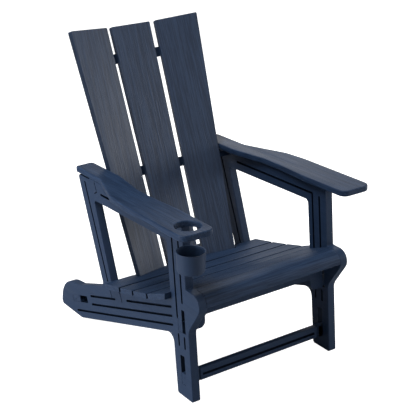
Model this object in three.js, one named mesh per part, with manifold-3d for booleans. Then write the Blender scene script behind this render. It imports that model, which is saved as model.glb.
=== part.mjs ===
// Adirondack chair in moulded plastic: two side frames, locked together by tenoned cross rails, carry a
// dished slatted seat, a fan back of three boards on three battens, and two armrests, one with a hole over a
// cup holder.
// Millimetres, +Z up. The chair faces -Y, so a sitter's left hand is at +X.
// Side outlines are drawn as [y, z] with y = 0 at the toe of the front leg. The finished group is centred.
import * as THREE from "three";
import { mergeVertices } from "three/addons/utils/BufferGeometryUtils.js";
import Module from "manifold-3d";

const wasm = await Module();
wasm.setup();

// ---------- driving dimensions ----------
const FRAME_OUTER = 300; // half the width over the two side frames
const FRAME_THICKNESS = 30;
const FRAME_EDGE = 2; // rounding of the side frames' edges
const GAP = 0.3; // between pieces that touch
const GROOVE_WIDTH = 8;
const GROOVE_DEPTH = 13;
const SLIT_WIDTH = 3.4;
const SLIT_DEPTH = 8;

// Edges of the side frame, each a point and a direction in [y, z].
const FLOOR = { at: [0, 0], to: [1, 0] };
const LEG_FRONT = { at: [1, 0], to: [0.095, 1] };
const LEG_REAR = { at: [87, 0], to: [0.108, 1] };
const RAIL_BOTTOM = { at: [714, 0], to: [-1, 0.3445] };
const RAIL_TOP = { at: [684, 138.8], to: [-1, 0.405] };
const POST_FRONT = { at: [495, 240], to: [0.36, 1] };
const POST_REAR = { at: [563, 240], to: [0.4, 1] };
const WINDOW_TOP = { at: [170, 518], to: [1, -0.037] };
const RAIL_GROOVE_SLOPE = 0.341;
const FOOT_HEEL = 866; // rearmost point of the chair, on the floor

// Crossbars through the front legs are square to a leg's own centre line.
const LEG_CENTRE = { at: [44, 0], lean: Math.atan(0.1015) };
const REAR_LOCK = { at: [720, 74.5], slope: Math.atan(0.33), start: -56, end: 57, half: 12.8 };

// Seat: its top surface from the back to the roll at the front.
const SEAT_HALF_WIDTH = 325;
const SEAT_POINTS = [
  [496, 233.5],
  [396, 257.3],
  [313, 279.3],
  [226, 304.2],
];
const SLAT_THICKNESS = 18;
const SLAT_GAP = 10;
const BOARD_THICKNESS = 20;
const BOARD_RISE = Math.atan(0.4136);
const CREST_RADIUS = 110; // where the front board levels off
const LIP_HEIGHT = 345; // bottom of the board's rolled front
const BOARD_END_CLEARANCE = 6.5; // from the front board's rear end to the frame's step for the next slat
// The line ruled across the front board's flat top, at a distance from the board's rear end.
const BOARD_GROOVE = { distance: 96, halfLength: 250, width: 4, depth: 3 };
const NOSE = { centre: [3, 348], radius: 38 }; // the roll at its front, and the ears beside it

// Back: boards on a plane that leans back, the outer two turned in towards the sitter.
const BACK_FOOT = [493, 250];
const BACK_LEAN = Math.atan(0.4107);
const BACK_TURN = THREE.MathUtils.degToRad(13.4);
const BACK_THICKNESS = 20;
const BACK_TOP = 840;
const BACK_BOTTOM = -92;
const BACK_PIVOT = 85; // x where the outer boards turn
const BATTEN_THICKNESS = 17;
const BATTEN_HEIGHT = 34;

// Armrests.
const ARM_TOP = 612;
const ARM_SLOPE = Math.atan(0.0275);
const ARM_THICKNESS = 20.5;
const ARM_FRONT = -54;
const ARM_REAR = 710;
const ARM_EDGE = 4; // rounding of the armrest's edges
const CUP_HOLE = { x: -306, y: 15, radius: 37, arcs: 3 };

// Cup holder.
const CUP = { x: -306, y: -1.5, top: 535, height: 67, radius: 46, taper: 2.5, wall: 3.5 };

// ---------- plane geometry ----------
const polar = (centre, radius, angle) => [
  centre[0] + radius * Math.cos(angle),
  centre[1] + radius * Math.sin(angle),
];

// The point where two lines cross, with a corner radius added.
function meet(a, b, radius = 0) {
  const [dy, dz] = [b.at[0] - a.at[0], b.at[1] - a.at[1]];
  const k = (dy * b.to[1] - dz * b.to[0]) / (a.to[0] * b.to[1] - a.to[1] * b.to[0]);
  return [a.at[0] + k * a.to[0], a.at[1] + k * a.to[1], radius];
}

// The y on an edge at height z.
const yOn = (edge, z) => edge.at[0] + ((z - edge.at[1]) * edge.to[0]) / edge.to[1];

// The point of a line at a given y.
const atY = (line, y) => [y, line.at[1] + ((y - line.at[0]) * line.to[1]) / line.to[0]];

// A line moved sideways, square to its own direction: positive is to the right of the direction.
function shifted(line, distance) {
  const length = Math.hypot(...line.to);
  const [uy, uz] = [line.to[0] / length, line.to[1] / length];
  return { at: [line.at[0] + uz * distance, line.at[1] - uy * distance], to: line.to };
}

// Draws a closed outline of [a, b, radius] corners, each corner rounded by an arc.
function roundedPath(corners, path) {
  const count = corners.length;
  corners.forEach((corner, i) => {
    const here = new THREE.Vector2(corner[0], corner[1]);
    const before = new THREE.Vector2(...corners[(i + count - 1) % count].slice(0, 2)).sub(here).normalize();
    const after = new THREE.Vector2(...corners[(i + 1) % count].slice(0, 2)).sub(here).normalize();
    const radius = corner[2] ?? 0;
    if (radius === 0) {
      if (i === 0) path.moveTo(here.x, here.y);
      else path.lineTo(here.x, here.y);
      return;
    }
    const half = before.angleTo(after) / 2;
    const middle = before.clone().add(after).normalize();
    const centre = here.clone().addScaledVector(middle, radius / Math.sin(half));
    const start = here.clone().addScaledVector(before, radius / Math.tan(half)).sub(centre);
    const end = here.clone().addScaledVector(after, radius / Math.tan(half)).sub(centre);
    if (i === 0) path.moveTo(centre.x + start.x, centre.y + start.y);
    path.absarc(centre.x, centre.y, radius, start.angle(), end.angle(), start.cross(end) < 0);
  });
  path.closePath();
  return path;
}

const outline = (corners) => roundedPath(corners, new THREE.Shape());
const hole = (corners) => roundedPath(corners, new THREE.Path());

// A long hole with round ends, or a groove's outline, between two points.
function slotOutline(from, to, width) {
  const along = Math.atan2(to[1] - from[1], to[0] - from[0]);
  const shape = new THREE.Shape();
  shape.absarc(to[0], to[1], width / 2, along - Math.PI / 2, along + Math.PI / 2, false);
  shape.absarc(from[0], from[1], width / 2, along + Math.PI / 2, along + (3 * Math.PI) / 2, false);
  return shape;
}

// Turns corners drawn across and along a leg, or a rail, into [y, z] corners.
const turned = (origin, angle, corners) =>
  corners.map(([a, b, radius = 0]) => [
    origin[0] + a * Math.cos(angle) + b * Math.sin(angle),
    origin[1] - a * Math.sin(angle) + b * Math.cos(angle),
    radius,
  ]);
const acrossLeg = (corners) => turned(LEG_CENTRE.at, LEG_CENTRE.lean, corners);
const alongRail = (corners) => turned(REAR_LOCK.at, REAR_LOCK.slope, corners);

const rectangle = (a0, b0, a1, b1, radius = 0) => [
  [a0, b0, radius],
  [a1, b0, radius],
  [a1, b1, radius],
  [a0, b1, radius],
];

// ---------- solids ----------
const SIDE_BASIS = new THREE.Matrix4().makeBasis(
  new THREE.Vector3(0, 1, 0),
  new THREE.Vector3(0, 0, 1),
  new THREE.Vector3(1, 0, 0),
);

function extrude(shape, depth, curveSegments = 3, bevel = {}) {
  return new THREE.ExtrudeGeometry(shape, { depth, curveSegments, bevelEnabled: false, ...bevel });
}

// An extrusion of a full thickness whose edges are rounded, standing on z = 0.
function roundedExtrude(shape, thickness, edge, curveSegments) {
  const bevel = {
    bevelEnabled: true,
    bevelSize: edge,
    bevelThickness: edge,
    bevelOffset: -edge,
    bevelSegments: 3,
  };
  return extrude(shape, thickness - 2 * edge, curveSegments, bevel).translate(0, 0, edge);
}

// A [y, z] outline carried across the chair from x0 to x1.
function across(shape, x0, x1, curveSegments = 3) {
  return extrude(shape, x1 - x0, curveSegments).applyMatrix4(SIDE_BASIS).translate(x0, 0, 0);
}

function box(x0, y0, z0, x1, y1, z1) {
  const geometry = new THREE.BoxGeometry(Math.abs(x1 - x0), y1 - y0, z1 - z0);
  return geometry.translate((x0 + x1) / 2, (y0 + y1) / 2, (z0 + z1) / 2);
}

function toSolid(geometry) {
  const bare = geometry.clone();
  bare.deleteAttribute("normal");
  bare.deleteAttribute("uv");
  const merged = mergeVertices(bare, 1e-3);
  return new wasm.Manifold(
    new wasm.Mesh({
      numProp: 3,
      vertProperties: new Float32Array(merged.attributes.position.array),
      triVerts: new Uint32Array(merged.index.array),
    }),
  );
}

function toGeometry(solid) {
  const mesh = solid.getMesh();
  const geometry = new THREE.BufferGeometry();
  geometry.setAttribute("position", new THREE.BufferAttribute(mesh.vertProperties, 3));
  geometry.setIndex(new THREE.BufferAttribute(mesh.triVerts, 1));
  geometry.computeVertexNormals();
  return geometry;
}

// A geometry with others added to it and then others taken away.
function combine(base, added, removed = []) {
  let solid = toSolid(base);
  for (const piece of added) solid = solid.add(toSolid(piece));
  for (const piece of removed) solid = solid.subtract(toSolid(piece));
  return toGeometry(solid);
}

// ---------- materials and nodes ----------
const plastic = () => new THREE.MeshStandardMaterial({ color: 0x1f2c42, roughness: 0.55, metalness: 0 });
const steel = () => new THREE.MeshStandardMaterial({ color: 0xa9adb1, roughness: 0.35, metalness: 1 });

const chair = new THREE.Group();

function addNode(parent, name, geometry, material = plastic()) {
  const mesh = new THREE.Mesh(geometry, material);
  mesh.name = name;
  parent.add(mesh);
}

// Names end in left or right as the sitter has them: the sitter's right hand is at -X.
const SIDES = [
  { side: -1, word: "right" },
  { side: 1, word: "left" },
];
const FRAME_INNER = FRAME_OUTER - FRAME_THICKNESS;
const FRAME_MIDDLE = FRAME_OUTER - FRAME_THICKNESS / 2;

// ---------- derived lines ----------
const armUnderside = { at: [0, ARM_TOP - ARM_THICKNESS - GAP], to: [1, -Math.tan(ARM_SLOPE)] };
const boardTop = { at: SEAT_POINTS[3], to: [-Math.cos(BOARD_RISE), Math.sin(BOARD_RISE)] };
const crestLine = { at: [0, NOSE.centre[1] + NOSE.radius], to: [-1, 0] };
const slatTop = (i) => ({
  at: SEAT_POINTS[i],
  to: [SEAT_POINTS[i + 1][0] - SEAT_POINTS[i][0], SEAT_POINTS[i + 1][1] - SEAT_POINTS[i][1]],
});
const under = (line, thickness) => shifted(line, -thickness);
// A point on the front board's flat top, or raised square to it, at a distance from its rear end.
const onBoardTop = (distance, raised = 0) =>
  polar(polar(SEAT_POINTS[3], distance, Math.PI - BOARD_RISE), raised, Math.PI / 2 - BOARD_RISE);

// A point on the leg at height z, a fraction of the way from its front to its rear edge.
function onLeg(z, fraction) {
  const [front, rear] = [yOn(LEG_FRONT, z), yOn(LEG_REAR, z)];
  return [front + fraction * (rear - front), z];
}
const onRailRow = (y, base) => [y, base - RAIL_GROOVE_SLOPE * y];

// ---------- lugs that key the seat and armrests into the side frames ----------
const SEAT_LUG = { halfLength: 14, halfWidth: 7, depth: 12 };
const ARM_LUG = { halfLength: 20, halfWidth: 8, depth: 18 };
const ARM_LUG_PLACES = [102, 540];
const LUG_ROOT = 4; // how far a lug runs up into the piece that it hangs from

// A lug in the middle of a side frame's edge, hanging from a point of a sloping line.
function lug(side, line, y, size, clearance = 0) {
  const [long, wide, low] = [size.halfLength + clearance, size.halfWidth + clearance, size.depth + clearance];
  return box(-wide, -long, -low, wide, long, LUG_ROOT).translate(side * FRAME_MIDDLE, ...atY(line, y));
}
const seatLines = [slatTop(0), slatTop(1), slatTop(2), boardTop];
const seatThicknesses = [SLAT_THICKNESS, SLAT_THICKNESS, SLAT_THICKNESS, BOARD_THICKNESS];
const seatLugPlaces = [430, 354, 270, 165];
const seatLug = (side, i, clearance) =>
  lug(side, under(seatLines[i], seatThicknesses[i]), seatLugPlaces[i], SEAT_LUG, clearance);
const armLug = (side, y, clearance) => lug(side, armUnderside, y, ARM_LUG, clearance);

// ---------- back: placed first, because the frames and the seat are cut to it ----------
const back = new THREE.Group();
back.position.set(0, BACK_FOOT[0], BACK_FOOT[1]);
back.rotation.x = Math.PI / 2 - BACK_LEAN;
back.updateMatrix();
const fromBack = (geometry) => geometry.clone().applyMatrix4(back.matrix);

// Moves a piece drawn on a board's own face, x from its inner edge, to its place on the turned side.
function onBoard(side, geometry) {
  if (side === 0) return geometry;
  return geometry.rotateY(-side * BACK_TURN).translate(side * BACK_PIVOT, 0, 0);
}

const BOARDS = [
  { side: -1, word: "right", screws: [34, 112] },
  { side: 0, word: "middle", screws: [-40, 40] },
  { side: 1, word: "left", screws: [34, 112] },
];
// Half width of the middle board, and the outer boards' inner and outer edges, at a height v up the back.
const middleEdge = (v) => 64.6 + 0.0165 * v;
const innerEdge = (v) => 0.0158 * v;
const outerEdge = (v) => 123 + 0.063 * v;

function backBoardOutline(side) {
  const radius = 5;
  if (side === 0)
    return [
      [-middleEdge(BACK_BOTTOM), BACK_BOTTOM, radius],
      [middleEdge(BACK_BOTTOM), BACK_BOTTOM, radius],
      [middleEdge(BACK_TOP), BACK_TOP, radius],
      [-middleEdge(BACK_TOP), BACK_TOP, radius],
    ];
  return [
    [side * innerEdge(BACK_BOTTOM), BACK_BOTTOM, radius],
    [side * outerEdge(BACK_BOTTOM), BACK_BOTTOM, radius],
    [side * outerEdge(BACK_TOP), BACK_TOP + 2, radius],
    [side * innerEdge(BACK_TOP), BACK_TOP, radius],
  ];
}

// Plan of a batten: its front follows the boards' rear faces round the two bends of the back.
const BATTEN_KNEE = BACK_PIVOT + (BACK_THICKNESS + GAP) * Math.tan(BACK_TURN / 2);
function battenPlan(halfLength, front, thickness) {
  const wing = (halfLength - BATTEN_KNEE) * Math.tan(BACK_TURN);
  return [
    [-halfLength, front + wing],
    [-BATTEN_KNEE, front],
    [BATTEN_KNEE, front],
    [halfLength, front + wing],
    [halfLength, front + wing - thickness],
    [BATTEN_KNEE, front - thickness],
    [-BATTEN_KNEE, front - thickness],
    [-halfLength, front + wing - thickness],
  ];
}

// A plan outline of [x, depth] carried up the back from v0 to v1. Depth grows towards the sitter.
function upBack(plan, v0, v1) {
  const drawn = plan.map(([x, depth, radius = 0]) => [x, -depth, radius]);
  return extrude(outline(drawn), v1 - v0).rotateX(-Math.PI / 2).translate(0, v0, 0);
}

const TENON_REACH = 14; // how far a batten's tenon enters the side frame
const BATTENS = [
  { name: "back_batten_bottom", v: -60, halfLength: FRAME_INNER + TENON_REACH, wingTop: -48 },
  { name: "back_batten_arm_level", v: 330, halfLength: FRAME_INNER + TENON_REACH, wingTop: 333 },
  { name: "back_batten_top", v: 731, halfLength: 236, wingTop: 748 },
];

// A batten's solid. Its wings are cut down to wingTop where they pass under the armrests or the seat.
const WING = { start: 226, end: FRAME_OUTER + 20, depth: 60 };
function battenSolid({ v, halfLength, wingTop }, clearance = 0) {
  const front = -BACK_THICKNESS - GAP + clearance;
  const plan = battenPlan(halfLength + clearance, front, BATTEN_THICKNESS + 2 * clearance);
  const [low, high] = [v - BATTEN_HEIGHT / 2 - clearance, v + BATTEN_HEIGHT / 2 + clearance];
  const { start, end, depth } = WING;
  const cuts = SIDES.map(({ side }) =>
    box(side * start, wingTop + clearance, -depth, side * end, high + 1, depth),
  );
  return combine(upBack(plan, low, high), [], wingTop < high ? cuts : []);
}

// Pan-head screw, its axis along +z from the head to the tip.
const SCREW = { head: 5, headHeight: 3, shank: 2.1, grip: BATTEN_THICKNESS * Math.cos(BACK_TURN), bite: 13 };
function screwSolid(radius, length, headRadius) {
  const profile = [
    [0, -SCREW.headHeight],
    [headRadius * 0.7, -SCREW.headHeight],
    [headRadius, -SCREW.headHeight * 0.4],
    [headRadius, 0],
    [radius, 0],
    [radius, length - radius],
    [0, length],
  ];
  const points = profile.map(([r, h]) => new THREE.Vector2(r, h));
  return new THREE.LatheGeometry(points, 12).rotateX(Math.PI / 2);
}
// Screw and bore places on each board, at each batten: a geometry drawn at the head's seat is moved there.
function screwPlaces() {
  const places = [];
  for (const batten of BATTENS)
    for (const board of BOARDS)
      board.screws.forEach((x, i) => {
        const seat = -BACK_THICKNESS - 2 * GAP - (board.side === 0 ? BATTEN_THICKNESS : SCREW.grip);
        const name = `screw_${batten.name.slice(12)}_${board.word}_${i + 1}`;
        const along = board.side === 0 ? x : board.side * x;
        const move = (geometry) => onBoard(board.side, geometry.translate(along, batten.v, seat));
        places.push({ name, batten, board, move });
      });
  return places;
}
const places = screwPlaces();
const BORE = { radius: SCREW.shank + GAP, length: SCREW.grip + SCREW.bite + 1 };
const boreFor = ({ move }) => move(screwSolid(BORE.radius, BORE.length, BORE.radius));

function addBack() {
  for (const board of BOARDS) {
    const body = extrude(outline(backBoardOutline(board.side)), BACK_THICKNESS);
    const placed = onBoard(board.side, body.translate(0, 0, -BACK_THICKNESS));
    const bores = places.filter((place) => place.board === board).map(boreFor);
    addNode(back, `back_slat_${board.word}`, combine(placed, [], bores));
  }
  for (const batten of BATTENS) {
    const bores = places.filter((place) => place.batten === batten).map(boreFor);
    addNode(back, batten.name, combine(battenSolid(batten), [], bores));
  }
  for (const place of places) {
    const screw = screwSolid(SCREW.shank, SCREW.grip + SCREW.bite, SCREW.head);
    addNode(back, place.name, place.move(screw), steel());
  }
  chair.add(back);
}

// ---------- side frames ----------
// The seat's front board ends at an ear on each front leg, of the same curve, which slants back below it.
const EAR_SLANT_ANGLE = THREE.MathUtils.degToRad(213);
function earCorners() {
  const slant = {
    at: polar(NOSE.centre, NOSE.radius, EAR_SLANT_ANGLE),
    to: [Math.sin(EAR_SLANT_ANGLE), -Math.cos(EAR_SLANT_ANGLE)],
  };
  return [meet(LEG_FRONT, crestLine, 3), meet(crestLine, slant, NOSE.radius), meet(slant, LEG_FRONT, 45)];
}

function frameShape() {
  const shape = outline([
    meet(LEG_FRONT, FLOOR, 6),
    meet(LEG_REAR, FLOOR, 8),
    meet(LEG_REAR, RAIL_BOTTOM, 28),
    meet(RAIL_BOTTOM, FLOOR, 30),
    [FOOT_HEEL, 0, 15],
    [FOOT_HEEL - 18, 112, 104],
    [728, 127, 60],
    meet(RAIL_TOP, POST_REAR, 20),
    meet(POST_REAR, armUnderside, 14),
    meet(armUnderside, LEG_FRONT, 3),
    ...earCorners(),
  ]);
  const rests = seatLines.map((line, i) => under(line, seatThicknesses[i] + GAP));
  const step = { at: [SEAT_POINTS[3][0] - BOARD_END_CLEARANCE, 0], to: [0, 1] };
  shape.holes.push(
    hole([
      meet(LEG_REAR, rests[3]),
      meet(rests[3], step),
      meet(rests[2], step),
      meet(rests[2], rests[1]),
      meet(rests[1], rests[0]),
      meet(rests[0], POST_FRONT),
      meet(POST_FRONT, WINDOW_TOP, 10),
      meet(WINDOW_TOP, LEG_REAR, 15),
    ]),
  );
  return shape;
}

// Through slots in a front leg. The upper one is an L: the tenon's seat, and a taller strip in front of it.
const UPPER_LOCK = { low: 229.5, tenon: 42, slot: 79, strip: 17 };
const LOWER_LOCK = { low: 46.5, tenon: 39, slot: 101 };
const LOCK_HALF_WIDTH = 11.8;

// Grooves on one face of a frame. Those down the leg lie a fraction of the way across it from its front.
function frameGrooves({ front, rear, top }) {
  const corner = onLeg(top, rear);
  return [
    [corner, [540, top - 13]],
    [corner, onLeg(273, rear)],
    [onLeg(top - 3, front), onLeg(334, front)],
    [onLeg(215, rear), onLeg(179, rear)],
    [onLeg(215, front), onLeg(179, front)],
    [[yOn(POST_REAR, 551) - 40, 551], [yOn(POST_REAR, 228) - 42, 228]],
    [onRailRow(640, 336), onRailRow(471, 336)],
    [onRailRow(391, 336), onRailRow(121, 336)],
    [onRailRow(632, 304), onRailRow(117, 304)],
    [onRailRow(743, 272.5), onRailRow(113, 272.5)],
  ];
}
const OUTER_GROOVES = frameGrooves({ front: 0.28, rear: 0.65, top: 551 });
const INNER_GROOVES = frameGrooves({ front: 0.35, rear: 0.73, top: 549 });

// Thin slits on the outer face, round the ends of the batten tenons.
const SLITS = [
  [[583, 569], [569, 538]],
  [[569, 538], [583, 530]],
  [[503, 196], [491, 174]],
  [[452, 214], [436, 212]],
  [[436, 212], [424, 183]],
];

// The top of the rear post stands a little clear of the armrest behind its lug.
const POST_RELIEF = { front: 618, rear: 720, clearance: 4.5 };
function postTopRelief() {
  const { front, rear, clearance } = POST_RELIEF;
  const low = shifted(armUnderside, clearance);
  const high = shifted(armUnderside, -clearance);
  return outline([atY(low, front), atY(low, rear), atY(high, rear), atY(high, front)]);
}

// Openings right through a frame for the crossbars' tenons, taller or longer than the tenons they hold.
function lockSlots() {
  const half = LOCK_HALF_WIDTH;
  const { low, tenon, slot, strip } = UPPER_LOCK;
  return [
    acrossLeg([
      [-half - strip, low - GAP, 1.5],
      [half, low - GAP, 1.5],
      [half, low + tenon + GAP, 1],
      [-half, low + tenon + GAP, 1],
      [-half, low + slot, 1.5],
      [-half - strip, low + slot, 1.5],
    ]),
    acrossLeg(rectangle(-half, LOWER_LOCK.low - GAP, half, LOWER_LOCK.low + LOWER_LOCK.slot, 1.5)),
    alongRail(rectangle(REAR_LOCK.start, -REAR_LOCK.half, REAR_LOCK.end, REAR_LOCK.half, 1.5)),
  ];
}

function addFrame({ side, word }) {
  const [x0, x1] = side < 0 ? [-FRAME_OUTER, -FRAME_INNER] : [FRAME_INNER, FRAME_OUTER];
  const onFace = (x, lines, width, depth) =>
    lines.map(([from, to]) => across(slotOutline(from, to, width), x - depth, x + depth, 2));
  const cuts = [
    ...onFace(side * FRAME_OUTER, OUTER_GROOVES, GROOVE_WIDTH, GROOVE_DEPTH),
    ...onFace(side * FRAME_INNER, INNER_GROOVES, GROOVE_WIDTH, GROOVE_DEPTH),
    ...onFace(side * FRAME_OUTER, SLITS, SLIT_WIDTH, SLIT_DEPTH),
    across(postTopRelief(), x0 - 1, x1 + 1),
  ];
  for (const corners of lockSlots()) cuts.push(across(outline(corners), x0 - 1, x1 + 1, 1));
  for (const y of ARM_LUG_PLACES) cuts.push(armLug(side, y, GAP));
  for (const i of seatLines.keys()) cuts.push(seatLug(side, i, GAP));
  for (const batten of BATTENS.slice(0, 2)) cuts.push(fromBack(battenSolid(batten, GAP)));
  if (side < 0) cuts.push(...cupHook(GAP));
  const plate = roundedExtrude(frameShape(), FRAME_THICKNESS, FRAME_EDGE, 5);
  const body = combine(plate.applyMatrix4(SIDE_BASIS).translate(x0, 0, 0), [], cuts);
  addNode(chair, `side_frame_${word}`, body);
}

// ---------- crossbars ----------
const BAR_END = FRAME_INNER - GAP; // the shoulder that meets a side frame
const TENON_ROOT = 20; // how far inside that shoulder a tenon starts
const legTenon = ({ low, tenon }) =>
  acrossLeg(rectangle(GAP - LOCK_HALF_WIDTH, low, LOCK_HALF_WIDTH - GAP, low + tenon, 1));

// A section carried through both side frames to their outer faces.
function tenons(section) {
  const [root, tip] = [BAR_END - TENON_ROOT, FRAME_OUTER - GAP];
  return [across(outline(section), -tip, -root, 1), across(outline(section), root, tip, 1)];
}

// Bar low between the front legs, with a channel along its front face and a thinner neck at each end.
const FRONT_BAR = { half: 11, height: 42, corner: 3 };
const FRONT_CHANNEL = { low: 15.5, high: 23, depth: 8, halfLength: 233 };
const FRONT_NECK = { start: 243, depth: 3 };
function addFrontCrossbar() {
  const { low } = LOWER_LOCK;
  const { half, height, corner } = FRONT_BAR;
  const main = outline(acrossLeg(rectangle(-half, low, half, low + height, corner)));
  const fromFront = (depth, bottom, top) =>
    outline(acrossLeg(rectangle(-half - 1, bottom, depth - half, top)));
  const channel = fromFront(FRONT_CHANNEL.depth, low + FRONT_CHANNEL.low, low + FRONT_CHANNEL.high);
  const neck = fromFront(FRONT_NECK.depth, low - 1, low + height + 1);
  const cuts = [
    across(channel, -FRONT_CHANNEL.halfLength, FRONT_CHANNEL.halfLength),
    across(neck, -FRAME_INNER, -FRONT_NECK.start),
    across(neck, FRONT_NECK.start, FRAME_INNER),
  ];
  const bar = combine(across(main, -BAR_END, BAR_END), [], cuts);
  addNode(chair, "front_crossbar", combine(bar, tenons(legTenon(LOWER_LOCK))));
}

// The beam under the front board, with a rounded tab at each end that its tenon stands on.
const APRON = { tab: 217, bottom: 271, top: 337, front: -19, rear: 13 };
function addApronBeam() {
  const { low } = UPPER_LOCK;
  const { tab, bottom, top, front, rear } = APRON;
  const face = outline([
    [-BAR_END, low, 4],
    [-tab, low, 22],
    [-tab, bottom, 8],
    [tab, bottom, 8],
    [tab, low, 22],
    [BAR_END, low, 4],
    [BAR_END, top],
    [-BAR_END, top],
  ]);
  const beam = extrude(face, rear - front, 3)
    .rotateX(Math.PI / 2 - LEG_CENTRE.lean)
    .translate(0, LEG_CENTRE.at[0] + rear * Math.cos(LEG_CENTRE.lean), -rear * Math.sin(LEG_CENTRE.lean));
  addNode(chair, "front_apron_beam", combine(beam, tenons(legTenon(UPPER_LOCK))));
}

const REAR_BAR = { start: -1, end: 59, half: 17, corner: 4 };
function addRearCrossbar() {
  const { start, end, half, corner } = REAR_BAR;
  const bar = across(outline(alongRail(rectangle(start, -half, end, half, corner))), -BAR_END, BAR_END);
  const tenonHalf = REAR_LOCK.half - GAP;
  const section = alongRail(rectangle(0.5, -tenonHalf, REAR_LOCK.end - GAP, tenonHalf, 1));
  addNode(chair, "rear_crossbar", combine(bar, tenons(section)));
}

// ---------- seat ----------
// Section of one flat slat between two points of the seat's top line, less half a gap at each end.
function slatSection(i) {
  const line = slatTop(i);
  const length = Math.hypot(...line.to);
  const slope = Math.atan2(line.to[1], -line.to[0]);
  const start = i === 0 ? 0 : SLAT_GAP / 2;
  const corners = rectangle(-length + SLAT_GAP / 2, -SLAT_THICKNESS, -start, 0, 2.5);
  return turned(line.at, slope, corners);
}

function addSeatSlats() {
  const names = ["seat_slat_rear", "seat_slat_middle", "seat_slat_front"];
  names.forEach((name, i) => {
    const body = across(outline(slatSection(i)), -SEAT_HALF_WIDTH, SEAT_HALF_WIDTH);
    const lugs = SIDES.map(({ side }) => seatLug(side, i, 0));
    addNode(chair, name, combine(body, lugs, i === 0 ? rearSlatCuts() : []));
  });
}

// The rear slat is cut away for the back boards that pass down behind it, and for the rear posts.
function rearSlatCuts() {
  const clearance = 1;
  const reach = 210;
  const wing = (reach - BACK_PIVOT) * Math.tan(BACK_TURN) + clearance;
  const plan = [
    [-reach, wing],
    [-BACK_PIVOT, clearance],
    [BACK_PIVOT, clearance],
    [reach, wing],
    [reach, -70],
    [-reach, -70],
  ];
  const cuts = [fromBack(upBack(plan, -80, 60))];
  const post = shifted(POST_FRONT, -clearance);
  for (const { side } of SIDES) {
    const low = [yOn(post, 190), 190];
    const high = [yOn(post, 270), 270];
    const shape = outline([low, [540, 190], [540, 270], high]);
    const [a, b] = [side * (FRAME_INNER - clearance), side * (FRAME_OUTER + clearance)];
    cuts.push(across(shape, Math.min(a, b), Math.max(a, b)));
  }
  return cuts;
}

// Section of the front board: flat, level at the crest, then rolled down over the front, of even thickness.
function frontBoardShape() {
  const innerTop = shifted(boardTop, -BOARD_THICKNESS);
  const innerCrest = shifted(crestLine, -BOARD_THICKNESS);
  const end = { at: onBoardTop(SLAT_GAP / 2), to: [-Math.sin(BOARD_RISE), -Math.cos(BOARD_RISE)] };
  const [front, back] = [NOSE.centre[0] - NOSE.radius, NOSE.centre[0] - NOSE.radius + BOARD_THICKNESS];
  return outline([
    meet(innerTop, end, 1),
    meet(boardTop, end, 2.5),
    meet(boardTop, crestLine, CREST_RADIUS),
    [front, crestLine.at[1], NOSE.radius],
    [front, LIP_HEIGHT, 2.5],
    [back, LIP_HEIGHT, 1],
    [back, innerCrest.at[1], NOSE.radius - BOARD_THICKNESS],
    meet(innerTop, innerCrest, CREST_RADIUS - BOARD_THICKNESS),
  ]);
}

// The board is notched round the front legs. Its tips outside them reach a little past the legs' rear edges.
const BOARD_TIP_OVERLAP = 6;
function addFrontBoard() {
  const body = across(frontBoardShape(), -SEAT_HALF_WIDTH, SEAT_HALF_WIDTH, 5);
  const lugs = SIDES.map(({ side }) => seatLug(side, 3, 0));
  const { distance, halfLength, width, depth } = BOARD_GROOVE;
  const groove = slotOutline(onBoardTop(distance, depth), onBoardTop(distance, width / 2 - depth), width);
  const cuts = [across(groove, -halfLength, halfLength)];
  const legRear = yOn(LEG_REAR, LIP_HEIGHT) + 2 * GAP;
  const [front, low] = [NOSE.centre[0] - NOSE.radius - 1, LIP_HEIGHT - 80];
  const high = NOSE.centre[1] + NOSE.radius + 1;
  const [notchIn, notchOut, tip] = [FRAME_INNER - GAP, FRAME_OUTER + GAP, SEAT_HALF_WIDTH + 1];
  for (const { side } of SIDES) {
    cuts.push(box(side * notchIn, front, low, side * notchOut, legRear, high));
    cuts.push(box(side * FRAME_OUTER, front, low, side * tip, legRear - BOARD_TIP_OVERLAP, high));
  }
  addNode(chair, "seat_front_board", combine(body, lugs, cuts));
}

// ---------- armrests ----------
function armShape(side) {
  const corners = [
    [302, ARM_REAR - 3, 10],
    [302, 540, 80],
    [362, 372, 80],
    [371, 280, 150],
    [371, ARM_FRONT, 30],
    [252, ARM_FRONT, 24],
    [249, 130, 150],
    [258, 290, 150],
    [257, 375, 100],
    [233, 520, 100],
    [233, ARM_REAR, 14],
  ].map(([x, y, radius]) => [side * x, y, radius]);
  const shape = outline(corners);
  if (side < 0) {
    const cupHole = new THREE.Path();
    const arc = (2 * Math.PI) / CUP_HOLE.arcs;
    for (let i = 0; i < CUP_HOLE.arcs; i++)
      cupHole.absarc(CUP_HOLE.x, CUP_HOLE.y, CUP_HOLE.radius + ARM_EDGE, -i * arc, -(i + 1) * arc, true);
    shape.holes.push(cupHole);
  }
  return shape;
}

function addArmrest({ side, word }) {
  const body = roundedExtrude(armShape(side), ARM_THICKNESS, ARM_EDGE, 6)
    .translate(0, 0, -ARM_THICKNESS)
    .rotateX(-ARM_SLOPE)
    .translate(0, 0, ARM_TOP);
  const lugs = ARM_LUG_PLACES.map((y) => armLug(side, y, 0));
  addNode(chair, `armrest_${word}`, combine(body, lugs));
}

// ---------- cup holder ----------
const HOOK = { low: 492, high: 512, halfWidth: 8, depth: 10 };

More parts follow.
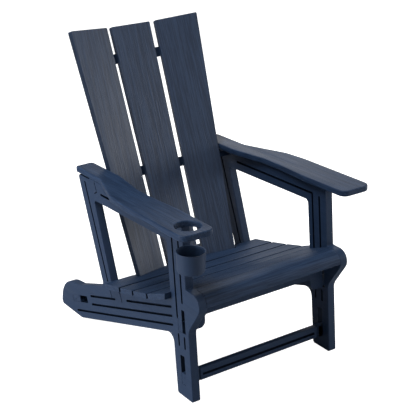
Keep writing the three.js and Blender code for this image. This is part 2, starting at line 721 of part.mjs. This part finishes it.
// The hook on the cup holder's back, or with clearance the pocket in the leg that it drops into.
function cupHook(clearance) {
  const low = HOOK.low - clearance;
  const high = HOOK.high + clearance;
  const deep = HOOK.depth + clearance;
  const shape = outline([
    [yOn(LEG_FRONT, low) - 3, low],
    [yOn(LEG_FRONT, low) + deep, low],
    [yOn(LEG_FRONT, high) + deep, high],
    [yOn(LEG_FRONT, high) - 3, high],
  ]);
  const half = HOOK.halfWidth + clearance;
  return [across(shape, -FRAME_MIDDLE - half, -FRAME_MIDDLE + half)];
}

function addCupHolder() {
  const { radius, taper, wall, height } = CUP;
  const bottom = radius - taper;
  const profile = [
    [0, 0],
    [bottom - 6, 0],
    [bottom - 1.8, 1.8],
    [bottom, 6],
    [radius - 0.6, height - 6],
    [radius, height - 5],
    [radius, height - 1],
    [radius - 1, height],
    [radius - wall + 1, height],
    [radius - wall, height - 1],
    [bottom - wall, 6],
    [bottom - wall - 3, wall],
    [0, wall],
  ];
  const points = profile.map(([r, h]) => new THREE.Vector2(r, h));
  const base = CUP.top - height;
  const place = (geometry) => geometry.rotateX(Math.PI / 2).translate(CUP.x, CUP.y, base);
  const cup = place(new THREE.LatheGeometry(points, 28));
  const inside = place(new THREE.CylinderGeometry(radius - wall, bottom - wall, height, 28))
    .translate(0, 0, height / 2 + wall);
  const [low, high] = [base + 8, CUP.top - 8];
  const padShape = outline([
    [CUP.y + 20, low],
    [yOn(LEG_FRONT, low) - GAP, low],
    [yOn(LEG_FRONT, high) - GAP, high],
    [CUP.y + 20, high],
  ]);
  const pad = across(padShape, -FRAME_MIDDLE - 12, -FRAME_MIDDLE + 12);
  const bracket = combine(pad, cupHook(0), [inside]);
  addNode(chair, "cup_holder", combine(cup, [bracket]));
}

// ---------- assembly ----------
SIDES.forEach(addFrame);
addApronBeam();
addFrontCrossbar();
addRearCrossbar();
addSeatSlats();
addFrontBoard();
addBack();
SIDES.forEach(addArmrest);
addCupHolder();

// The origin is on the floor, under the centre of the chair's bounding box.
const bounds = new THREE.Box3().setFromObject(chair);
chair.position.y = -(bounds.min.y + bounds.max.y) / 2;

export default chair;
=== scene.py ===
import math

import bmesh
import bpy
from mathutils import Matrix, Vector


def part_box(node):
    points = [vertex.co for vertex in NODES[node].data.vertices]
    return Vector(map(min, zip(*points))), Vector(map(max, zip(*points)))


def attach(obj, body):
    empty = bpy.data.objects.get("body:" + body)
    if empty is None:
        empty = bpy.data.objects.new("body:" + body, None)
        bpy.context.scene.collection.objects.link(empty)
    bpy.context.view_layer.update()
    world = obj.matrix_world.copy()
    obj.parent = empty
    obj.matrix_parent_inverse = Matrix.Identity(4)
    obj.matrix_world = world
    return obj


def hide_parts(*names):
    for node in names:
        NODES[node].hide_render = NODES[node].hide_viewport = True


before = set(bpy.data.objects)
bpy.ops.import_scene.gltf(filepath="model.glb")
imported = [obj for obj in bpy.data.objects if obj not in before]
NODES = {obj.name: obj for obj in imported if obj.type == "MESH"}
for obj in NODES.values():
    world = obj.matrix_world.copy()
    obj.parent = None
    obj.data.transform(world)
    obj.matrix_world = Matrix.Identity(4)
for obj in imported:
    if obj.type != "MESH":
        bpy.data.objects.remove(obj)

MM = 0.001
X_AXIS, Y_AXIS, Z_AXIS = 0, 1, 2
WHITE = (1.0, 1.0, 1.0, 1.0)
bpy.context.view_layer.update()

# ---------- camera ----------
CAMERA_PLACE = (-2.0354, -2.9351, 1.9334)
CAMERA_TURN = (math.radians(67.65), 0.0, math.radians(-35.32))
LENS_MM = 97.41
SENSOR_MM = 36.0

lens = bpy.data.cameras.new("camera")
lens.lens = LENS_MM
lens.sensor_width = SENSOR_MM
camera = bpy.data.objects.new("camera", lens)
camera.location = CAMERA_PLACE
camera.rotation_euler = CAMERA_TURN
bpy.context.scene.collection.objects.link(camera)
bpy.context.scene.camera = camera


# ---------- materials ----------
class Nodes:
    """A short way to build a node tree."""

    def __init__(self, tree):
        self.tree = tree
        tree.nodes.clear()

    def add(self, kind, settings=None, **inputs):
        """Adds a node. An input is set to a value, or linked to a socket; _ stands for a space in its name."""
        node = self.tree.nodes.new("ShaderNode" + kind)
        for key, value in (settings or {}).items():
            setattr(node, key, value)
        for key, value in inputs.items():
            socket = node.inputs[key.replace("_", " ")]
            if isinstance(value, bpy.types.NodeSocket):
                self.tree.links.new(value, socket)
            else:
                socket.default_value = value
        return node


# A colour mix has several sockets of the same name, so these are reached by number.
MIX_FACTOR, MIX_FIRST, MIX_SECOND, MIX_RESULT = 0, 6, 7, 2


def material(name):
    """A new material, and the builder of its empty node tree."""
    made = bpy.data.materials.new(name)
    made.use_nodes = True
    return made, Nodes(made.node_tree)


def noise(nodes, vector, scale, detail, roughness):
    """A noise texture stretched by a different scale along each axis."""
    stretched = nodes.add("Mapping", Vector=vector, Scale=scale)
    return nodes.add(
        "TexNoise",
        Vector=stretched.outputs["Vector"],
        Scale=1.0,
        Detail=detail,
        Roughness=roughness,
    ).outputs["Fac"]


def remap(nodes, value, spread, result):
    """Carries a value from one range, given as its low and high end, to another."""
    return nodes.add(
        "MapRange",
        Value=value,
        From_Min=spread[0],
        From_Max=spread[1],
        To_Min=result[0],
        To_Max=result[1],
    ).outputs["Result"]


def added(nodes, a, b):
    """The sum of two sockets."""
    node = nodes.tree.nodes.new("ShaderNodeMath")
    node.operation = "ADD"
    nodes.tree.links.new(a, node.inputs[0])
    nodes.tree.links.new(b, node.inputs[1])
    return node.outputs[0]


NAVY_DARK = (0.0085, 0.0190, 0.0445, 1.0)
NAVY_LIGHT = (0.0170, 0.0345, 0.0745, 1.0)
FINE_GRAIN = 190.0  # streaks in a metre, across the grain
BROAD_GRAIN = 38.0
GRAIN_STRETCH = 0.035  # a streak's width over its length
GRAIN_DETAIL = 3.0
FINE_ROUGHNESS, BROAD_ROUGHNESS = 0.7, 0.5  # how much of each noise is in its smaller scales
FINE_SPREAD, BROAD_SPREAD = (0.35, 0.65), (0.3, 0.7)  # the values that most of each noise lies between
FINE_SHARE = 0.84  # of the colour's variation
BUMP_STRENGTH = 0.35
BUMP_DISTANCE = 0.0006
PLASTIC_ROUGHNESS = (0.46, 0.58)


def plastic(name, along, turn=0.0, grain=1.0, shine=0.15, painted_shade_factor=1.0):
    """Satin navy plastic. A moulded wood grain runs along one axis, after a turn about X.

    A factor under 1 darkens its colour as painted shade, for the insides of grooves, slits, slots and the gaps
    beside the seat slats.
    """
    made, nodes = material(name)
    place = nodes.add("TexCoord").outputs["Object"]
    turned = nodes.add("Mapping", Vector=place, Rotation=(turn, 0.0, 0.0)).outputs["Vector"]

    def streaks(across, roughness):
        scale = [across] * 3
        scale[along] = across * GRAIN_STRETCH
        return noise(nodes, turned, scale, GRAIN_DETAIL, roughness)

    fine = streaks(FINE_GRAIN, FINE_ROUGHNESS)
    broad = streaks(BROAD_GRAIN, BROAD_ROUGHNESS)
    both = added(
        nodes,
        remap(nodes, fine, FINE_SPREAD, (0.0, FINE_SHARE)),
        remap(nodes, broad, BROAD_SPREAD, (0.0, 1.0 - FINE_SHARE)),
    )
    half = 0.5 / grain
    share = remap(nodes, both, (0.5 - half, 0.5 + half), (0.0, 1.0))
    colour = nodes.add("Mix", {"data_type": "RGBA"})
    nodes.tree.links.new(share, colour.inputs[MIX_FACTOR])
    # the two grain colours, darkened by the painted-shade factor
    colour.inputs[MIX_FIRST].default_value = [painted_shade_factor * part for part in NAVY_DARK]
    colour.inputs[MIX_SECOND].default_value = [painted_shade_factor * part for part in NAVY_LIGHT]
    bump = nodes.add("Bump", Strength=min(1.0, BUMP_STRENGTH * grain), Distance=BUMP_DISTANCE, Height=both)
    shader = nodes.add(
        "BsdfPrincipled",
        Base_Color=colour.outputs[MIX_RESULT],
        Roughness=remap(nodes, broad, BROAD_SPREAD, PLASTIC_ROUGHNESS),
        Normal=bump.outputs["Normal"],
        Specular_IOR_Level=shine,
    )
    nodes.add("OutputMaterial", Surface=shader.outputs["BSDF"])
    return made


STEEL_GREY = (0.56, 0.57, 0.58, 1.0)
STEEL_GRAIN = (900.0, 900.0, 900.0)
STEEL_SPREAD = (0.3, 0.7)
STEEL_ROUGHNESS = (0.28, 0.42)


def steel(name):
    """Screw steel with a fine, even grain in its shine."""
    made, nodes = material(name)
    place = nodes.add("TexCoord").outputs["Object"]
    grain = noise(nodes, place, STEEL_GRAIN, detail=2.0, roughness=0.5)
    shader = nodes.add(
        "BsdfPrincipled",
        Base_Color=STEEL_GREY,
        Metallic=1.0,
        Roughness=remap(nodes, grain, STEEL_SPREAD, STEEL_ROUGHNESS),
    )
    nodes.add("OutputMaterial", Surface=shader.outputs["BSDF"])
    return made


BACK_LEAN = math.atan(0.4107)
back_plastic = plastic("back_plastic", Z_AXIS, BACK_LEAN, grain=2.2, shine=0.42)
seat_plastic = plastic("seat_plastic", X_AXIS, grain=1.8, shine=0.15)
arm_plastic = plastic("arm_plastic", Y_AXIS, grain=1.6, shine=0.12)
frame_plastic = plastic("frame_plastic", Y_AXIS, grain=0.35, shine=0.14)
cup_plastic = plastic("cup_plastic", Z_AXIS, grain=0.15, shine=0.2)
# painted shade: a darker copy of the frame plastic, for recesses and gaps where shade falls
painted_shade_plastic = plastic("painted_shade_plastic", Y_AXIS, grain=0.35, shine=0.05, painted_shade_factor=0.3)
screw_steel = steel("screw_steel")

# ---------- painted shade: darker places where shade falls ---
GROOVE_FLOORS = (2.0 * MM, 7.0 * MM)  # from a side frame's middle plane: its grooves' floors, and its slits'
GROOVE_FLOOR_FIT = 0.02 * MM
LEG_LEAN = math.atan(0.1015)
LEG_SLOTS_TOP = 340 * MM
LEG_SLOT_REACH = 31 * MM  # from a front leg's centre line
RAIL_SLOPE = math.atan(0.33)
REAR_SLOT = (-92 * MM, 36 * MM)  # along the rail, from the rear crossbar's centre
REAR_SLOT_REACH = 14 * MM
WALL_TILT = 0.1  # the most that a slot wall's normal leans towards X
CHANNEL_FLOOR = -3 * MM  # across a leg, from its centre line
CHANNEL_FLOOR_FIT = 0.4 * MM
GAP_FACE_TILT = 0.8  # the least that the normal of a slat's long edge leans towards Y


def centre_of(node):
    """The centre of a CAD piece's box."""
    low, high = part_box(node)
    return [0.5 * (a + b) for a, b in zip(low, high)]


FRONT_BAR = centre_of("front_crossbar")
REAR_BAR = centre_of("rear_crossbar")


def across_leg(place):
    """How far behind a front leg's centre line a point is."""
    y, z = place[1] - FRONT_BAR[1], place[2] - FRONT_BAR[2]
    return y * math.cos(LEG_LEAN) - z * math.sin(LEG_LEAN)


def in_lock_slot(place):
    """Whether a point of a side frame is on the wall of a slot that holds a crossbar's tenon."""
    if place[2] < LEG_SLOTS_TOP and abs(across_leg(place)) < LEG_SLOT_REACH:
        return True
    y, z = place[1] - REAR_BAR[1], place[2] - REAR_BAR[2]
    along = y * math.cos(RAIL_SLOPE) - z * math.sin(RAIL_SLOPE)
    beside = y * math.sin(RAIL_SLOPE) + z * math.cos(RAIL_SLOPE)
    return REAR_SLOT[0] < along < REAR_SLOT[1] and abs(beside) < REAR_SLOT_REACH


def paint_shade(mesh, in_painted_shade):
    """Puts the darker plastic, a painted shade, on the faces that pass a test of their normal and their
    corners.
    """
    mesh.materials.append(painted_shade_plastic)
    for face in mesh.polygons:
        if in_painted_shade(face.normal, [mesh.vertices[i].co for i in face.vertices]):
            face.material_index = 1


def paint_frame_shade(mesh):
    """Paints shade into the insides of a side frame's grooves, slits and lock slots, by darkening them."""
    middle = 0.5 * (min(v.co.x for v in mesh.vertices) + max(v.co.x for v in mesh.vertices))

    def in_painted_shade(normal, places):
        depths = [abs(place.x - middle) for place in places]
        if any(abs(d - floor) < GROOVE_FLOOR_FIT for d in depths for floor in GROOVE_FLOORS):
            return True
        return abs(normal.x) < WALL_TILT and all(in_lock_slot(place) for place in places)

    paint_shade(mesh, in_painted_shade)


def in_channel(normal, places):
    """Whether a face is in the channel along the front crossbar, which gets painted shade."""
    return any(abs(across_leg(place) - CHANNEL_FLOOR) < CHANNEL_FLOOR_FIT for place in places)


def faces_gap(normal, places):
    """Whether a face of a seat slat is on a long edge, which faces the gap beside it; these get painted shade
    so that the gaps read dark.
    """
    return abs(normal.y) > GAP_FACE_TILT


# ---------- pieces ----------
SHARP = math.radians(35.0)
FLAT = math.radians(0.6)
MERGE_DISTANCE = 1e-5
SHORTEST_ROUNDED = 6 * MM
NORMAL_WEIGHT = 100  # the modifier's highest: a large face's normal outweighs a small one's


def linked(name, mesh):
    """A new object in the scene."""
    made = bpy.data.objects.new(name, mesh)
    bpy.context.scene.collection.objects.link(made)
    return made


def rounded_edges(bm):
    """The edges of a mesh that get a rounding: convex, sharp and not too short."""
    return [
        edge
        for edge in bm.edges
        if len(edge.link_faces) == 2
        and edge.is_convex
        and edge.calc_face_angle(0.0) > SHARP
        and edge.calc_length() > SHORTEST_ROUNDED
    ]


def moulded(node, finish, slot, width=0.0, segments=0):
    """A finer copy of a CAD piece: its curved faces are shaded smooth and, with a width, its edges rounded."""
    bm = bmesh.new()
    bm.from_mesh(NODES[node].data)
    bmesh.ops.remove_doubles(bm, verts=bm.verts, dist=MERGE_DISTANCE)
    if width > 0.0:
        bmesh.ops.dissolve_limit(bm, angle_limit=FLAT, verts=bm.verts, edges=bm.edges)
    for face in bm.faces:
        face.smooth = True
    if width > 0.0:
        layer = bm.edges.layers.float.new("bevel_weight_edge")
        for edge in rounded_edges(bm):
            edge[layer] = 1.0
    mesh = bpy.data.meshes.new(node + "_moulded")
    bm.to_mesh(mesh)
    bm.free()
    if "custom_normal" in mesh.attributes:
        mesh.attributes.remove(mesh.attributes["custom_normal"])
    mesh.set_sharp_from_angle(angle=SHARP)
    piece = linked(node + "_moulded", mesh)
    if width > 0.0:
        bevel = piece.modifiers.new("edges", "BEVEL")
        bevel.limit_method = "WEIGHT"
        bevel.width = width
        bevel.segments = segments
        bevel.use_clamp_overlap = False
        bevel.harden_normals = True
    else:
        weighted = piece.modifiers.new("normals", "WEIGHTED_NORMAL")
        weighted.keep_sharp = True
        weighted.weight = NORMAL_WEIGHT
    mesh.materials.append(finish)
    # painted shade inside the side frames' grooves, slits and lock slots
    if node.startswith("side_frame"):
        paint_frame_shade(mesh)
    # painted shade in the channel along the front crossbar
    elif node == "front_crossbar":
        paint_shade(mesh, in_channel)
    # painted shade on the slats' long edges, in the gaps between them
    elif node.startswith("seat_slat"):
        paint_shade(mesh, faces_gap)
    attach(piece, "root")
    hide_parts(node)
    return piece


# By the start of a piece's name: its material and slot, then the width and segments of its edges' rounding.
# Pieces without these have rounded edges in the CAD, or need none.
FINISHES = {
    "side_frame": (frame_plastic, "frame_plastic"),
    "armrest": (arm_plastic, "grained_plastic"),
    "cup_holder": (cup_plastic, "cup_plastic"),
    "back_slat": (back_plastic, "grained_plastic", 1.5 * MM, 3),
    "seat_slat": (seat_plastic, "grained_plastic", 1.0 * MM, 2),
    "seat_front_board": (seat_plastic, "grained_plastic", 1.2 * MM, 2),
    "front_apron_beam": (frame_plastic, "frame_plastic", 2.0 * MM, 2),
    "front_crossbar": (frame_plastic, "frame_plastic", 2.0 * MM, 2),
    "rear_crossbar": (frame_plastic, "frame_plastic", 2.0 * MM, 2),
    "back_batten": (frame_plastic, "frame_plastic", 1.5 * MM, 2),
}
# Finer copies that the side light doesn't reach, by the start of their names.
AWAY_FROM_SIDE_LIGHT = ("side_frame_left", "armrest_left", "back_")

near_side = []
for node in NODES:
    kind = next((start for start in FINISHES if node.startswith(start)), None)
    if kind:
        piece = moulded(node, *FINISHES[kind])
        if not node.startswith(AWAY_FROM_SIDE_LIGHT):
            near_side.append(piece)
    else:
        piece = NODES[node]
        piece.data.materials.clear()
        piece.data.materials.append(screw_steel)

# ---------- floor and light ----------
FLOOR_HALF = 20.0
FLOOR_DROP = -0.5 * MM
FLOOR_GREY = (0.5, 0.5, 0.5, 1.0)
SKY_STRENGTH = 0.26


def light_only(thing, name, receivers):
    """Keeps the light of a lamp or of a glowing piece to some pieces."""
    lit = bpy.data.collections.new(name)
    for piece in receivers:
        lit.objects.link(piece)
    thing.light_linking.receiver_collection = lit


def floor():
    """A pale floor that glows, so that it reads as white, and doesn't light the chair."""
    mesh = bpy.data.meshes.new("floor")
    around = ((-1, -1), (1, -1), (1, 1), (-1, 1))
    corners = [(x * FLOOR_HALF, y * FLOOR_HALF, FLOOR_DROP) for x, y in around]
    mesh.from_pydata(corners, [], [(0, 1, 2, 3)])
    made, nodes = material("pale_floor")
    shader = nodes.add(
        "BsdfPrincipled",
        Base_Color=FLOOR_GREY,
        Roughness=0.8,
        Specular_IOR_Level=0.0,
        Emission_Color=WHITE,
        Emission_Strength=1.0,
    )
    nodes.add("OutputMaterial", Surface=shader.outputs["BSDF"])
    mesh.materials.append(made)
    piece = linked("floor", mesh)
    light_only(piece, "lit_by_floor", [piece])


def softbox(name, place, aim, size, power, receivers=()):
    """A square area light. With receivers, it lights only those pieces."""
    light = bpy.data.lights.new(name, "AREA")
    light.shape = "SQUARE"
    light.size = size
    light.energy = power
    lamp = linked(name, light)
    lamp.location = place
    lamp.rotation_euler = (Vector(aim) - Vector(place)).to_track_quat("-Z", "Y").to_euler()
    if receivers:
        light_only(lamp, "lit_by_" + name, receivers)


floor()
softbox("key_light", (-1.8, 0.2, 4.2), (0.0, 0.0, 0.5), size=2.2, power=185.0)
softbox("rim_light", (2.0, 2.3, 2.1), (0.2, 0.0, 0.6), size=1.3, power=28.0)
softbox("front_light", (3.3, -1.3, 1.0), (-0.2, 0.3, 0.7), size=1.4, power=68.0)
softbox("side_light", (-3.9, 0.6, 0.5), (-0.3, 0.1, 0.1), size=1.4, power=150.0, receivers=near_side)
softbox("fill_light", (0.6, -3.6, 1.6), (0.0, 0.0, 0.5), size=1.3, power=10.0)

world = bpy.data.worlds.new("studio")
world.use_nodes = True
sky = Nodes(world.node_tree)
background = sky.add("Background", Color=WHITE, Strength=SKY_STRENGTH)
sky.add("OutputWorld", Surface=background.outputs["Background"])
bpy.context.scene.world = world
bpy.context.scene.view_settings.view_transform = "Standard"
